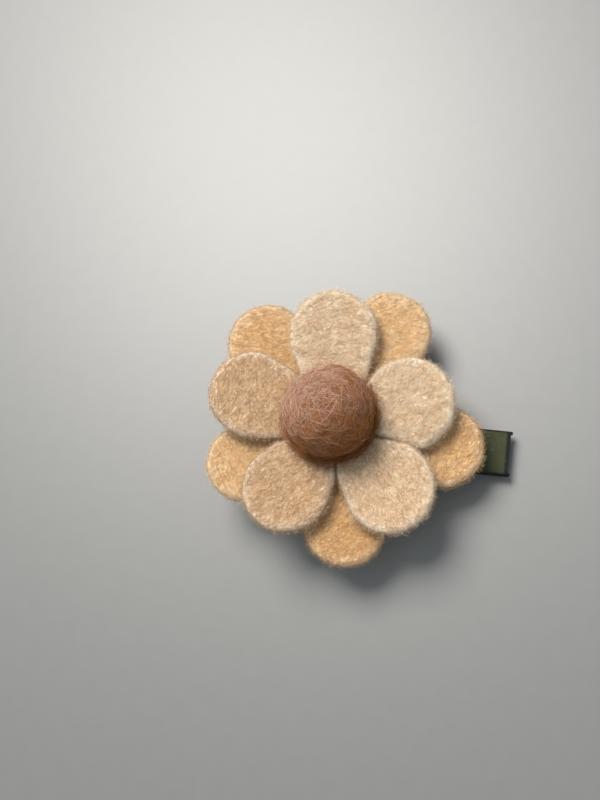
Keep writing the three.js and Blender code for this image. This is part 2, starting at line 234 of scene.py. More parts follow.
def tubes(paths, radii, sides, reference):
    """Closed tubes along many paths of one length: points, quads and the end caps' triangles. Each
    path's reference is a direction that it never runs along."""
    count, steps = paths.shape[:2]
    along = np.gradient(paths, axis=1)
    left = np.cross(along, reference[:, None, :])
    left /= np.linalg.norm(left, axis=2, keepdims=True) + 1e-12
    over = np.cross(left, along)
    over /= np.linalg.norm(over, axis=2, keepdims=True) + 1e-12
    turns = np.arange(sides) * 2 * math.pi / sides
    ring = np.cos(turns)[:, None] * left[:, :, None] + np.sin(turns)[:, None] * over[:, :, None]
    points = paths[:, :, None] + radii[:, :, None, None] * ring
    index = np.arange(count * steps * sides).reshape(count, steps, sides)
    after = np.roll(index, -1, axis=2)
    quads = np.stack([index[:, :-1], index[:, 1:], after[:, 1:], after[:, :-1]], -1)
    fan = np.arange(1, sides - 1)
    first, last = index[:, 0], index[:, -1]
    head = np.stack([np.repeat(first[:, :1], len(fan), 1), first[:, fan], first[:, fan + 1]], -1)
    tail = np.stack([np.repeat(last[:, :1], len(fan), 1), last[:, fan + 1], last[:, fan]], -1)
    return points.reshape(-1, 3), quads.reshape(-1, 4), np.stack([head, tail], 1).reshape(-1, 3)


pin = directions @ np.array(hinge["pos_m"]) * 1000 - start
upper_lean = math.atan2(UPPER_LEG_RISE - COIL_RADIUS, LEG_REACH)
lower_lean = math.atan2(LOWER_LEG_FALL - COIL_RADIUS, LEG_REACH)
turned = (math.floor(COIL_TURNS) + 0.5) * 2 * math.pi + upper_lean + lower_lean
share = np.linspace(0, 1, COIL_STEPS)
angle = math.pi / 2 + upper_lean - share * turned
half_coil = COIL_TURNS * COIL_PITCH / 2
coil = COIL_RADIUS * np.cos(angle), half_coil * (2 * share - 1), COIL_RADIUS * np.sin(angle)
coil = np.stack(coil, 1)
out = np.linspace(1, 0, LEG_STEPS, endpoint=False)[:, None]
upper_leg = (1 - out) * coil[0] + out * [-LEG_REACH, -half_coil, UPPER_LEG_RISE]
lower_leg = (1 - out) * coil[-1] + out * [-LEG_REACH, half_coil, -LOWER_LEG_FALL]
wire = np.concatenate([upper_leg, coil, lower_leg[::-1]]) + pin
for _ in range(3):  # eases the bends where the legs leave the coil
    wire[1:-1] = (wire[:-2] + 2 * wire[1:-1] + wire[2:]) / 4
taper = np.ones(len(wire))
taper[[0, -1]] = CUT_END
wire_points, quads, caps = tubes(
    wire[None], taper[None] * WIRE / 2, WIRE_SIDES, np.array([[0.03, 1, 0.02]])
)

# Drawn spring steel: greyer than the rivet, with dark lines along the wire from the drawing die.
spring_steel, tree, sockets = substance("drawn_spring_steel", "#a3a4a6", Metallic=1)
where = add(tree, "TexCoord", out="Object")
drawn = (PER_MM / 3, PER_MM / 0.2, PER_MM / 0.2)
lines = add(tree, "Mapping", {"Vector": where}, {"Scale": drawn})
lines = add(tree, "TexNoise", {"Vector": lines}, {"Scale": 1, "Detail": 3})
tint = add(tree, "ValToRGB", {0: lines}, stops=[(0.3, "#77787a"), (0.7, "#b3b4b6")])
tree.links.new(tint, sockets["Base Color"])
shine = add(tree, "MapRange", {"Value": lines}, {"To Min": 0.24, "To Max": 0.42})
tree.links.new(shine, sockets["Roughness"])
relief = {"Strength": 0.3, "Distance": 0.01 / PER_MM}
lines = add(tree, "Bump", {"Height": lines}, relief)
tree.links.new(lines, sockets["Normal"])
spring = build("spring_wire", wire_points, quads, caps, [spring_steel])
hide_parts("torsion_spring")
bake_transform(spring)

# ---- Glue ----------------------------------------------------------------------------------------
# Hot-melt glue pressed between the layers: a strip on the clip, and a round pad under each ring of
# petals and under the ball. It sets milky and a little glossy, with a rounded uneven edge.
GLUE_EDGE = 0.2
GLUE_SQUASH = 0.08  # it fills the gaps above and below it
GLUE_WAVER = 0.025  # how uneven its outline is, as a share of its size
GLUE_INSET = 0.05
GLUE_DIRECTIONS = 160
GLUE_RINGS = 14


def waves(rng, points, size, count=28):
    """A smooth bumpy value around 0, mostly from -1 to 1 and about one size from bump to bump, over
    points of any number of coordinates."""
    across = rng.normal(size=(count, points.shape[-1]))
    across /= np.linalg.norm(across, axis=1, keepdims=True)
    across *= 2 * math.pi / (size * rng.uniform(0.7, 1.6, (count, 1)))
    phases = rng.uniform(0, 2 * math.pi, count)
    return np.sin(points @ across.T + phases).sum(-1) / (2 * count) ** 0.5


def layer(rims, edge, rings):
    """A flat layer that goes out to rims, a distance for each of many even directions. Returns its
    plan points, how far each is in from the rim, its side (1 top, -1 bottom), its quads and its
    triangles."""
    angles = np.arange(len(rims)) * 2 * math.pi / len(rims)
    inner = [(rims - edge) * (i / rings) ** 0.9 for i in range(1, rings + 1)]
    bend = np.sin(np.linspace(0, math.pi / 2, 8)[1:])
    top = np.array(inner + [rims - edge + edge * share for share in bend])
    radii = np.concatenate([top, top[-2::-1]])
    side = np.ones(len(radii))
    side[len(top) :] = -1
    plan = radii[..., None] * np.stack([np.cos(angles), np.sin(angles)], -1)
    index = np.arange(radii.size).reshape(radii.shape) + 1
    after = np.roll(index, -1, axis=1)
    quads = np.stack([index[:-1], index[1:], after[1:], after[:-1]], -1).reshape(-1, 4)
    ends = np.zeros(len(rims), int), np.full(len(rims), radii.size + 1)
    triangles = np.concatenate(
        [np.stack([ends[0], index[0], after[0]], -1), np.stack([ends[1], after[-1], index[-1]], -1)]
    )
    plan = np.concatenate([[[0, 0]], plan.reshape(-1, 2), [[0, 0]]])
    inset = np.concatenate([[rims.min()], (rims - radii).ravel(), [rims.min()]])
    side = np.concatenate([[1], np.repeat(side, len(rims)), [-1]])
    return plan, inset, side, quads, triangles


def swell(inset, edge, squareness):
    """How much of a layer's half thickness there is at a distance in from its rim."""
    gone = np.clip(1 - inset / edge, 0, 1)
    return (1 - gone**squareness) ** (1 / squareness)


# Set glue: milky ethylene-vinyl acetate with a soft gloss and small clouds.
glue, tree, sockets = substance("set_hot_melt_glue", "#e6dfc8", IOR=1.48, Roughness=0.34)
where = add(tree, "TexCoord", out="Object")
clouds = add(tree, "TexNoise", {"Vector": where}, {"Scale": PER_MM / 1.2, "Detail": 3})
tint = add(tree, "ValToRGB", {0: clouds}, stops=[(0.3, "#d8cfb2"), (0.7, "#efe9d6")])
tree.links.new(tint, sockets["Base Color"])
relief = {"Strength": 0.5, "Distance": 0.05 / PER_MM}
clouds = add(tree, "Bump", {"Height": clouds}, relief)
tree.links.new(clouds, sockets["Normal"])

for seed, pad in enumerate(("clip_glue", "lower_ring_glue", "upper_ring_glue", "ball_glue")):
    rng = np.random.default_rng(100 + seed)
    low, high = laid_out(pad).min(0), laid_out(pad).max(0)
    half = (high - low)[:2] / 2
    angles = np.arange(GLUE_DIRECTIONS) * 2 * math.pi / GLUE_DIRECTIONS
    spoke = np.stack([np.cos(angles), np.sin(angles)], -1)
    squareness = 2 if abs(half[0] - half[1]) < 0.1 else 4  # a round pad, or a strip
    rims = ((np.abs(spoke) / half) ** squareness).sum(-1) ** (-1 / squareness)
    rims = rims * (1 + GLUE_WAVER * waves(rng, spoke * half, 3)) - GLUE_INSET
    plan, inset, side, quads, triangles = layer(rims, GLUE_EDGE, GLUE_RINGS)
    middle = (low + high) / 2
    half_thick = (high - low)[2] / 2 + GLUE_SQUASH
    height = side * half_thick * swell(inset, GLUE_EDGE, 2)
    points = np.column_stack([plan, height]) + middle
    name = pad.replace("glue", "set_glue")
    set_glue = build(name, points, quads, triangles, [glue])
    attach(set_glue, steady)
    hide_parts(pad)

# ---- Felt disc and petals ------------------------------------------------------------------------
# Pressed wool felt, cut by hand: a round base on the clip, five apricot petals on it, and five
# oatmeal petals on those. Each petal lies flat where it is glued, and then rises to its round end.
CUT_EDGE = 1.05  # how far in from the rim the felt thins
CUT_SQUARENESS = 2  # a round edge
DIRECTIONS = 256
FELT_RINGS = 36
FLAT_TO = 6.5  # from the middle of the ring
BEND_OVER = 3.0  # the bend from flat to rising is this long
LUMP = 2.6
LUMP_HEIGHT = 0.06
NAP = 0.55
NAP_HEIGHT = 0.009
RIM_HIGHLIGHT_WIDTH = 2.2  # a painted highlight makes the cut edge paler this far in
RIM_HIGHLIGHT_TONE = 0.45  # and, as painted highlight, its loose fibres this much further towards the pale tones
FIBRE_THICKNESS = 0.036  # coarse wool
FIBRE_STEPS = 4  # points along each loose fibre
WISP = 0.3  # across a wisp of fibres of one tone
WISP_STRETCH = 2.6
PETAL_FIBRES = (4900, 4300, 500)  # lying on top, standing out of the edge, lying on the back
BASE_FIBRES = (1500, 2600, 1500)


def strands(name, rng, paths, thickness, tones, mix, order, reference=None):
    """A piece of many fine three-sided fibres along their paths, thinner at both ends. The fibres
    lowest in order have the first tone, and mix is the share of each tone."""
    count, steps = paths.shape[:2]
    if reference is None:
        chord = paths[:, -1] - paths[:, 0] + 1e-6
        reference = np.cross(chord, rng.normal(size=(count, 3)))
        reference /= np.linalg.norm(reference, axis=1, keepdims=True)
    share = np.linspace(-1, 1, steps)
    radii = thickness / 2 * rng.uniform(0.7, 1.25, (count, 1)) * (1 - 0.75 * share**4)
    points, quads, caps = tubes(paths, radii, 3, reference)
    rank = np.argsort(np.argsort(order)) / count
    tone = np.searchsorted(np.cumsum(mix)[:-1], rank)
    tone = np.concatenate([np.repeat(tone, len(quads) // count), np.repeat(tone, 2)])
    return build(name, points, quads, caps, tones, tone)


def felt_layer(name, rng, middle, rims, thickness, rise, nap_turn, dye_and_shade, felt, tones, fibres):
    """One cut piece of felt and the loose fibres on it. rise gives its mid height at plan points,
    which are measured from its middle. A higher deepening value makes it deeper: partly the felt's
    own colour, partly painted shade."""
    directions_around = np.arange(DIRECTIONS + 1) * 2 * math.pi / DIRECTIONS
    lumps_seed, nap_seed = rng.integers(1 << 30, size=2)

    def surface(plan, side, inset=None):
        if inset is None:
            around = np.arctan2(plan[..., 1], plan[..., 0]) % (2 * math.pi)
            reach = np.interp(around, directions_around, np.append(rims, rims[0]))
            inset = reach - np.linalg.norm(plan, axis=-1)
        full = swell(np.maximum(inset, 0), CUT_EDGE, CUT_SQUARENESS)
        bumps = LUMP_HEIGHT * waves(np.random.default_rng(lumps_seed), plan, LUMP)
        bumps += NAP_HEIGHT * waves(np.random.default_rng(nap_seed), plan, NAP, 60)
        height = rise(plan) + side * full * (thickness / 2 + bumps)
        return np.concatenate([plan, height[..., None]], -1) + middle

    plan, inset, side, quads, triangles = layer(rims, CUT_EDGE, FELT_RINGS)
    points = surface(plan, side, inset)
    piece = build(name, points, quads, triangles, [felt])
    c, s = math.cos(nap_turn), math.sin(nap_turn)
    with_nap = np.array([[c, -s], [s, c]])
    laid = np.column_stack([plan @ with_nap, side * 5]) + rng.uniform(0, 90, 3)
    cloth = piece.data.attributes.new("laid", "FLOAT_VECTOR", "POINT")
    cloth.data.foreach_set("vector", laid.astype(np.float32).ravel())
    # Painted highlight: this edge value makes the felt paler towards its cut edge.
    edge = piece.data.attributes.new("edge", "FLOAT", "POINT")
    ragged = 0.4 * waves(rng, plan, 1.1) + 0.4 * waves(rng, plan, 0.4)
    rim_highlight = np.clip(0.85 - inset / RIM_HIGHLIGHT_WIDTH + ragged, 0, 1)
    edge.data.foreach_set("value", rim_highlight.astype(np.float32))
    dyed_and_shaded = piece.data.attributes.new("dye_and_shade", "FLOAT", "POINT")
    dyed_and_shaded.data.foreach_set("value", np.full(len(plan), dye_and_shade, np.float32))

    # Fibres lie on the felt, curved and mostly along the nap, and others stand out of its cut edge.
    lying, standing, back = fibres
    count = lying + back
    spot = rng.choice(DIRECTIONS, count, p=rims**2 / (rims**2).sum())
    out = (rims[spot] * rng.uniform(0, 1, count) ** 0.5)[:, None]
    root = out * np.stack([np.cos(directions_around[spot]), np.sin(directions_around[spot])], -1)
    share = np.linspace(-0.5, 0.5, FIBRE_STEPS)
    heading = nap_turn + rng.normal(size=count) * 0.7 + math.pi * rng.integers(2, size=count)
    bearing = heading[:, None] + rng.normal(size=(count, 1)) * 1.3 * share
    length = rng.uniform(0.8, 2.4, count)
    step = np.stack([np.cos(bearing), np.sin(bearing)], -1)
    step = length[:, None, None] / (FIBRE_STEPS - 1) * step
    track = root[:, None] + np.cumsum(step, 1) - step.sum(1, keepdims=True) / 2
    facing = np.repeat([1.0, -1.0], [lying, back])[:, None]
    paths = surface(track, facing)
    hover = rng.uniform(0.01, 0.11, count)[:, None] * np.cos(math.pi * share) - 0.005
    paths[..., 2] += facing * hover
    spot = rng.integers(DIRECTIONS, size=standing)
    tilt = np.clip(rng.normal(1.4, 0.7, standing), 0.1, math.pi - 0.1)
    spoke = np.stack([np.cos(directions_around[spot]), np.sin(directions_around[spot])], -1)
    spoke = spoke + rng.normal(size=spoke.shape) * 0.01
    inset = CUT_EDGE * (1 - np.sin(tilt))
    root = surface((rims[spot] - inset)[:, None] * spoke, np.sign(np.cos(tilt)))
    aim = np.column_stack([np.sin(tilt)[:, None] * spoke, np.cos(tilt)])
    aim += rng.normal(size=aim.shape) * 0.55
    aim /= np.linalg.norm(aim, axis=1, keepdims=True)
    curl = np.cross(aim, rng.normal(size=aim.shape))
    length = np.clip(rng.gamma(2.2, 0.13, standing), 0.12, 0.9)[:, None, None]
    share = np.linspace(0, 1, FIBRE_STEPS)[:, None]
    stray = aim[:, None] * (share - 0.06) + 0.45 * curl[:, None] * share**2
    paths = np.concatenate([paths, root[:, None] + length * stray])
    starts = (paths[:, 1, :2] - middle[:2]) @ with_nap / [WISP_STRETCH, 1]
    order = 0.5 * waves(rng, starts, WISP, 90) + rng.normal(size=len(starts))
    # Painted highlight: the fibres standing out of the cut edge take paler tones.
    order[count:] += RIM_HIGHLIGHT_TONE
    # Deeper fibre tones follow the same deepening, partly painted shade.
    shares = (1 - dye_and_shade) * TONE_SHARES + dye_and_shade * DEEP_SHARES
    loose = strands(name + "_fibres", rng, paths, FIBRE_THICKNESS, tones, shares, order)
    return piece, loose


def felt_material(name, ground, heather, pale, rim):
    """Pressed wool felt, matt and heathered: pale and deep wisps cross on its ground colour, the
    wool catches light at a glancing angle, and a painted highlight makes the cut edge paler."""
    felt, tree, sockets = substance(name, ground, Roughness=0.95, IOR=1.54, Sheen_Weight=0.15)
    sockets["Specular IOR Level"].default_value = 0.25
    sockets["Sheen Roughness"].default_value = 0.55
    sockets["Sheen Tint"].default_value = linear(rim)
    laid = add(tree, "Attribute", out="Vector", attribute_name="laid")
    blotch = add(tree, "TexNoise", {"Vector": laid}, {"Scale": 1 / 2.4, "Detail": 3})
    tint = add(tree, "ValToRGB", {0: blotch}, stops=[(0.36, heather), (0.62, ground)])
    # The deepening of each piece is partly the felt's own colour and partly painted shade.
    dye_and_shade = add(tree, "Attribute", out="Fac", attribute_name="dye_and_shade")
    dye_and_shade = add(tree, "Math", {0: dye_and_shade}, {1: 0.8}, operation="MULTIPLY")
    tint = add(tree, "MixRGB", {"Fac": dye_and_shade, "Color1": tint}, {"Color2": linear(heather)})
    heights = None
    for turn, size, strength in ((0.1, (1.0, 0.15, 1), 0.3), (0.9, (0.6, 0.16, 1), 0.3)):
        along = add(tree, "Mapping", {"Vector": laid}, {"Rotation": (0, 0, turn)})
        along = add(tree, "Mapping", {"Vector": along}, {"Scale": [1 / s for s in size]})
        wisps = {"Scale": 1, "Detail": 3, "Distortion": 1.6}
        wisp = add(tree, "TexNoise", {"Vector": along}, wisps)
        fine = add(tree, "MapRange", {"Value": wisp}, {"From Min": 0.52, "From Max": 0.64})
        fine = add(tree, "Math", {0: fine}, {1: strength}, operation="MULTIPLY")
        tint = add(tree, "MixRGB", {"Fac": fine, "Color1": tint}, {"Color2": linear(pale)})
        deep = add(tree, "MapRange", {"Value": wisp}, {"From Min": 0.47, "From Max": 0.36})
        deep = add(tree, "Math", {0: deep}, {1: strength}, operation="MULTIPLY")
        tint = add(tree, "MixRGB", {"Fac": deep, "Color1": tint}, {"Color2": linear(heather)})
        if heights:
            wisp = add(tree, "Math", {0: wisp, 1: heights})
        heights = wisp
    # Painted highlight: paler towards the cut edge.
    edge = add(tree, "Attribute", out="Fac", attribute_name="edge")
    edge = add(tree, "Math", {0: edge}, {1: 0.6}, operation="MULTIPLY")
    tint = add(tree, "MixRGB", {"Fac": edge, "Color1": tint}, {"Color2": linear(rim)})
    tree.links.new(tint, sockets["Base Color"])
    grain = add(tree, "TexNoise", {"Vector": laid}, {"Scale": 1 / 0.22, "Detail": 2})
    heights = add(tree, "Math", {0: heights, 1: grain})
    relief = {"Strength": 0.5, "Distance": 0.02 / PER_MM}
    heights = add(tree, "Bump", {"Height": heights}, relief)
    tree.links.new(heights, sockets["Normal"])
    return felt


def wool_tones(name, *codes):
    """Single wool fibres: each is one even colour, and the mix of them makes the heather."""
    return [substance(f"{name}_{i}", c, Roughness=0.7, IOR=1.54)[0] for i, c in enumerate(codes)]


TONE_SHARES = np.array([0.26, 0.34, 0.26, 0.14])  # the deepest tone first
DEEP_SHARES = np.array([0.72, 0.22, 0.05, 0.01])
oatmeal = felt_material("oatmeal_wool_felt", "#e8cfad", "#d6ae82", "#f6ead5", "#f4ecdf")
oatmeal_wool = wool_tones("oatmeal_fibre", "#c49b71", "#e6cdaa", "#f2e3cb", "#f9f2e4")
apricot = felt_material("apricot_wool_felt", "#eac694", "#d9aa70", "#f3dfba", "#f3e6cf")
apricot_wool = wool_tones("apricot_fibre", "#cb9c67", "#e4c192", "#ecd5b0", "#f3e4cd")

# The round base, which is flat.
rng = np.random.default_rng(7)
low, high = laid_out("backing_disc").min(0), laid_out("backing_disc").max(0)
around = np.arange(DIRECTIONS) * 2 * math.pi / DIRECTIONS
spoke = np.stack([np.cos(around), np.sin(around)], -1)
rims = (high - low)[0] / 2 * (1 + 0.006 * waves(rng, spoke * 3, 3))
size = high - low


def no_rise(plan):
    """The base lies flat all over."""
    return 0 * plan[..., 0]


base, base_fibres = felt_layer(
    "felt_base", rng, (low + high) / 2, rims, size[2], no_rise, nap_turn=0.4, dye_and_shade=0.3,
    felt=apricot, tones=apricot_wool, fibres=BASE_FIBRES,
)
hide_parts("backing_disc")
for piece in (base, base_fibres):
    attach(piece, steady)

# The petals of both rings. The rises are how far each side of a petal curls above its middle line,
# first the side anticlockwise of it; where two petals press on each other one side rides up. Each
# upper petal lies across the gap between two lower ones, and the lower ones lie on the base.
# A petal's deepening value darkens its felt and fibres. It is partly the felt's own colour and
# partly painted shade, where the petal is turned from the light or lies under another.
LOWER_PETALS = {
    "right": {"rises": (0.1, 0.0), "nap": 1.1, "dye_and_shade": 0.7},
    "top_right": {"rises": (0.0, 0.1), "nap": 0.3, "dye_and_shade": 0.05},
    "top_left": {"rises": (0.1, 0.0), "nap": 0.1, "dye_and_shade": 0.4},
    "lower_left": {"rises": (0.0, 0.1), "nap": 2.0, "dye_and_shade": 0.2},
    "bottom": {"rises": (0.1, 0.1), "nap": 0.8, "dye_and_shade": 0.9},
}
UPPER_PETALS = {
    "right": {"on": ("right", "top_right"), "rises": (0.35, -0.4), "nap": 0.7, "dye_and_shade": 0.0},
    "top": {"on": ("top_right", "top_left"), "rises": (0.3, 0.25), "nap": 0.05, "dye_and_shade": 0.05},
    "left": {"on": ("top_left", "lower_left"), "rises": (0.2, 0.35), "nap": 1.5, "dye_and_shade": 0.95},
    "lower_left": {"on": ("lower_left", "bottom"), "rises": (0.3, 0.3), "nap": 0.9, "dye_and_shade": 0.9},
    "lower_right": {
        "on": ("right", "bottom"), "rises": (0.75, 0.2), "nap": 2.2, "dye_and_shade": 0.3, "over": 0.5,
    },
}
WOBBLE = 0.13  # the scissors' wobble
FLUFF = 0.15  # the fibres that stand out of the cut edge take up this much of the petal's size
OVER_AT, OVER_WIDTH = math.radians(115), 0.5  # where a petal's outline reaches over its neighbour
OUTLINE_STEPS = 720
SOFTENINGS = 12


def rim_of(corners):
    """How far a convex outline reaches from its middle in each direction, softened at corners."""
    many = np.arange(OUTLINE_STEPS) * 2 * math.pi / OUTLINE_STEPS
    support = (corners @ [np.cos(many), np.sin(many)]).max(0)
    slant = np.cos(around[:, None] - many)
    reach = np.where(slant > 0.02, support / np.maximum(slant, 0.02), np.inf).min(1)
    for _ in range(SOFTENINGS):
        reach = (np.roll(reach, 1) + 2 * reach + np.roll(reach, -1)) / 4
    return reach


for ring, petals, felt, tones in (
    ("lower", LOWER_PETALS, apricot, apricot_wool),
    ("upper", UPPER_PETALS, oatmeal, oatmeal_wool),
):
    pad = laid_out(ring + "_ring_glue")
    ring_middle = ((pad.min(0) + pad.max(0)) / 2)[:2]
    for number, (place, shape) in enumerate(petals.items()):
        name = f"{ring}_petal_{place}"
        rng = np.random.default_rng(10 * (ring == "upper") + number)
        solid = laid_out(name)
        solid[:, :2] -= ring_middle
        distance = np.linalg.norm(solid[:, :2], axis=1)
        reach = distance.max()
        # The axis runs out through the petal's round end.
        axis = solid[distance > 0.93 * reach, :2].mean(0)
        axis /= np.linalg.norm(axis)
        leftward = np.array([-axis[1], axis[0]])
        width = np.abs(solid[:, :2] @ leftward).max()
        middle = axis * (reach - width)
        root = solid[solid[:, :2] @ axis < FLAT_TO - 1, 2]
        thickness = np.ptp(root)
        tip = solid[solid[:, :2] @ axis > reach - 1, 2].mean()
        root_height = (root.min() + root.max()) / 2

        def rise(plan, shape=shape, axis=axis, leftward=leftward, reach=reach, width=width):
            """The bend up from the glued part, and the curl of both sides."""
            along = plan @ axis + reach - width
            bend = np.logaddexp(0, (along - FLAT_TO - 1) / BEND_OVER)
            bend /= np.logaddexp(0, (reach - FLAT_TO - 1) / BEND_OVER)
            sideways = plan @ leftward / width
            beyond = np.clip((along - 4) / 5, 0, 1)
            left, right = shape["rises"]
            curl = left * np.clip(sideways, 0, 1) ** 2 + right * np.clip(-sideways, 0, 1) ** 2
            return (tip - root_height) * bend + curl * beyond

        rims = rim_of(solid[:, :2] - middle)
        rims += WOBBLE * waves(rng, spoke * width, 5) - FLUFF
        toward = np.arctan2(spoke @ leftward, spoke @ axis) - OVER_AT
        rims += shape.get("over", 0) * np.exp(-((toward / OVER_WIDTH) ** 2))
        whole = [*(ring_middle + middle), root_height]
        petal, fibres = felt_layer(
            name.replace("petal", "felt_petal"), rng, whole, rims, thickness, rise, shape["nap"],
            shape["dye_and_shade"], felt, tones, PETAL_FIBRES,
        )
        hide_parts(name)
        for piece in (petal, fibres):
            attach(piece, steady)

# ---- Wool ball -----------------------------------------------------------------------------------
# Mauve-brown wool roving wound into a ball and felted with a barbed needle, then glued by its
# flattened base. Fine fibres lie round it in arcs, pale over dark, and loose ones stand off it.
BALL_BELOW = 5.2  # the base is this far below the ball's widest level
BASE_SHARE = 0.9  # the base's radius to the ball's
BASE_AT = 0.62  # how far down, on a ball of radius 1, the wool turns under to its base
BALL_LUMP = 3.2
BALL_LUMP_HEIGHT = 0.12
WRAPS = 9  # thicker turns of roving that show as low ridges
WRAP_WIDTH = 0.13  # as a share of the ball's radius
WRAP_HEIGHT = 0.13
TWIST = 0.45
TWIST_HEIGHT = 0.045
BALL_FLUFF = 0.6  # the loose fibres take up this much of the ball's size
WOUND_STEPS = 9
WOUND_DOWN_TO = -0.58  # on a ball of radius 1
LOOSE_DOWN_TO = -0.5
LOOSE_STEPS = 5
LOOSE_THICKNESS = 0.035
LOOSE_FIBRES = 4000
SKIRT_FIBRES = 3000

ball = laid_out("felt_ball")
ball_low, ball_high = ball.min(0), ball.max(0)
ball_radius = (ball_high - ball_low)[0] / 2
ball_middle = (ball_low + ball_high) / 2
ball_middle[2] = ball_low[2] + BALL_BELOW
ball_above = ball_high[2] - ball_middle[2]
rng = np.random.default_rng(31)
wraps = rng.normal(size=(WRAPS, 3)) + [0, 0, 1.2]
wraps /= np.linalg.norm(wraps, axis=1, keepdims=True)
wrap_level = rng.uniform(-0.2, 0.75, WRAPS)


def on_ball(way, proud=0.0):
    """The wool's surface in the directions of way, which is of length 1, or proud of it."""
    east, high = way[..., :2], way[..., 2]
    low = np.clip(-high / BASE_AT, 0, 1)
    level = np.where(high > 0, ball_above * high, -BALL_BELOW * low)
    flank = 1 / np.sqrt(np.clip(1 - high**2, 1e-9, 1)) * (1 - (1 - BASE_SHARE) * low**2)
    under = BASE_SHARE / math.sqrt(1 - BASE_AT**2)
    spread = np.where(high > 0, 1, np.where(high > -BASE_AT, flank, under))
    skin = np.concatenate([ball_radius * east * spread[..., None], level[..., None]], -1)
    bumps = BALL_LUMP_HEIGHT * waves(np.random.default_rng(32), way * ball_radius, BALL_LUMP)
    bumps += TWIST_HEIGHT * waves(np.random.default_rng(33), way * ball_radius, TWIST, 60)
    for axis, level in zip(wraps, wrap_level):
        bumps += WRAP_HEIGHT * np.exp(-(((way @ axis - level) / WRAP_WIDTH) ** 2))
    return ball_middle + skin + way * (bumps - BALL_FLUFF + proud)[..., None]


rows, columns = 150, 300
polar = np.linspace(0, math.pi, rows + 1)[1:-1, None]
turn = np.arange(columns) * 2 * math.pi / columns
way = np.stack(
    [np.sin(polar) * np.cos(turn), np.sin(polar) * np.sin(turn), np.cos(polar) + 0 * turn], -1
)
way = np.concatenate([[[0, 0, 1]], way.reshape(-1, 3), [[0, 0, -1]]])
index = np.arange((rows - 1) * columns).reshape(rows - 1, columns) + 1
after = np.roll(index, -1, axis=1)
quads = np.stack([index[:-1], index[1:], after[1:], after[:-1]], -1).reshape(-1, 4)
ends = np.zeros(columns, int), np.full(columns, index.max() + 1)
triangles = np.concatenate(
    [np.stack([ends[0], index[0], after[0]], -1), np.stack([ends[1], after[-1], index[-1]], -1)]
)

# Mauve-brown wool: matt, clouded pink and brown, with near-black painted shade deep between the
# fibres.
roving, tree, sockets = substance("mauve_brown_wool", "#84522b", Roughness=0.95, IOR=1.54)
sockets["Specular IOR Level"].default_value = 0.2
sockets["Sheen Weight"].default_value = 0.3
sockets["Sheen Roughness"].default_value = 0.5
sockets["Sheen Tint"].default_value = linear("#d8b6a2")
where = add(tree, "TexCoord", out="Object")
cloud = add(tree, "TexNoise", {"Vector": where}, {"Scale": PER_MM / 2.5, "Detail": 3})
tint = add(tree, "ValToRGB", {0: cloud}, stops=[(0.32, "#754214"), (0.66, "#965e2c")])
heights = None
for size in ((0.25, 2.2, 2.2), (2.2, 0.25, 2.2), (2.2, 2.2, 0.25)):
    along = add(tree, "Mapping", {"Vector": where}, {"Scale": [PER_MM / s for s in size]})
    wisps = {"Scale": 1, "Detail": 3, "Distortion": 2.0}
    wisp = add(tree, "TexNoise", {"Vector": along}, wisps)
    fine = add(tree, "MapRange", {"Value": wisp}, {"From Min": 0.55, "From Max": 0.72})
    tint = add(tree, "MixRGB", {"Fac": fine, "Color1": tint}, {"Color2": linear("#b78764")})
    # Painted shade: near-black streaks stand for the shade deep between the fibres.
    deep = add(tree, "MapRange", {"Value": wisp}, {"From Min": 0.44, "From Max": 0.28})
    tint = add(tree, "MixRGB", {"Fac": deep, "Color1": tint}, {"Color2": linear("#371a09")})
    if heights:
        wisp = add(tree, "Math", {0: wisp, 1: heights})
    heights = wisp
tree.links.new(tint, sockets["Base Color"])
relief = {"Strength": 1, "Distance": 0.08 / PER_MM}
heights = add(tree, "Bump", {"Height": heights}, relief)
tree.links.new(heights, sockets["Normal"])
wool = wool_tones("wound_wool", "#74420f", "#b06a1c", "#a5714f", "#c3947b", "#dcb8a0")
body = build("wool_ball", on_ball(way), quads, triangles, [roving])
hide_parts("felt_ball")
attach(body, steady)

# Wound fibres lie in arcs of circles, and half of the circles are nearly level, as the roving was
# wound. The last windings are coarser and paler. Fibres low on the front right, turned from the
# window, take the deeper ginger tones: painted shade, warmed with painted light thrown back from
# the apricot petals.
PAINTED_LIGHT_FROM = np.array([-0.6, 0.6, 0.5])


def wool_order(rng, way):
    """Each fibre's place in the order of tones, from the directions where the fibres start; fibres
    facing away from the window are painted deeper, as painted shade.
    """
    patches = 0.6 * waves(rng, way * ball_radius, 1.2, 60)
    # Painted shade: the side away from the window takes deeper, more ginger tones.
    return patches + 0.7 * rng.normal(size=len(way)) + 1.1 * way @ PAINTED_LIGHT_FROM


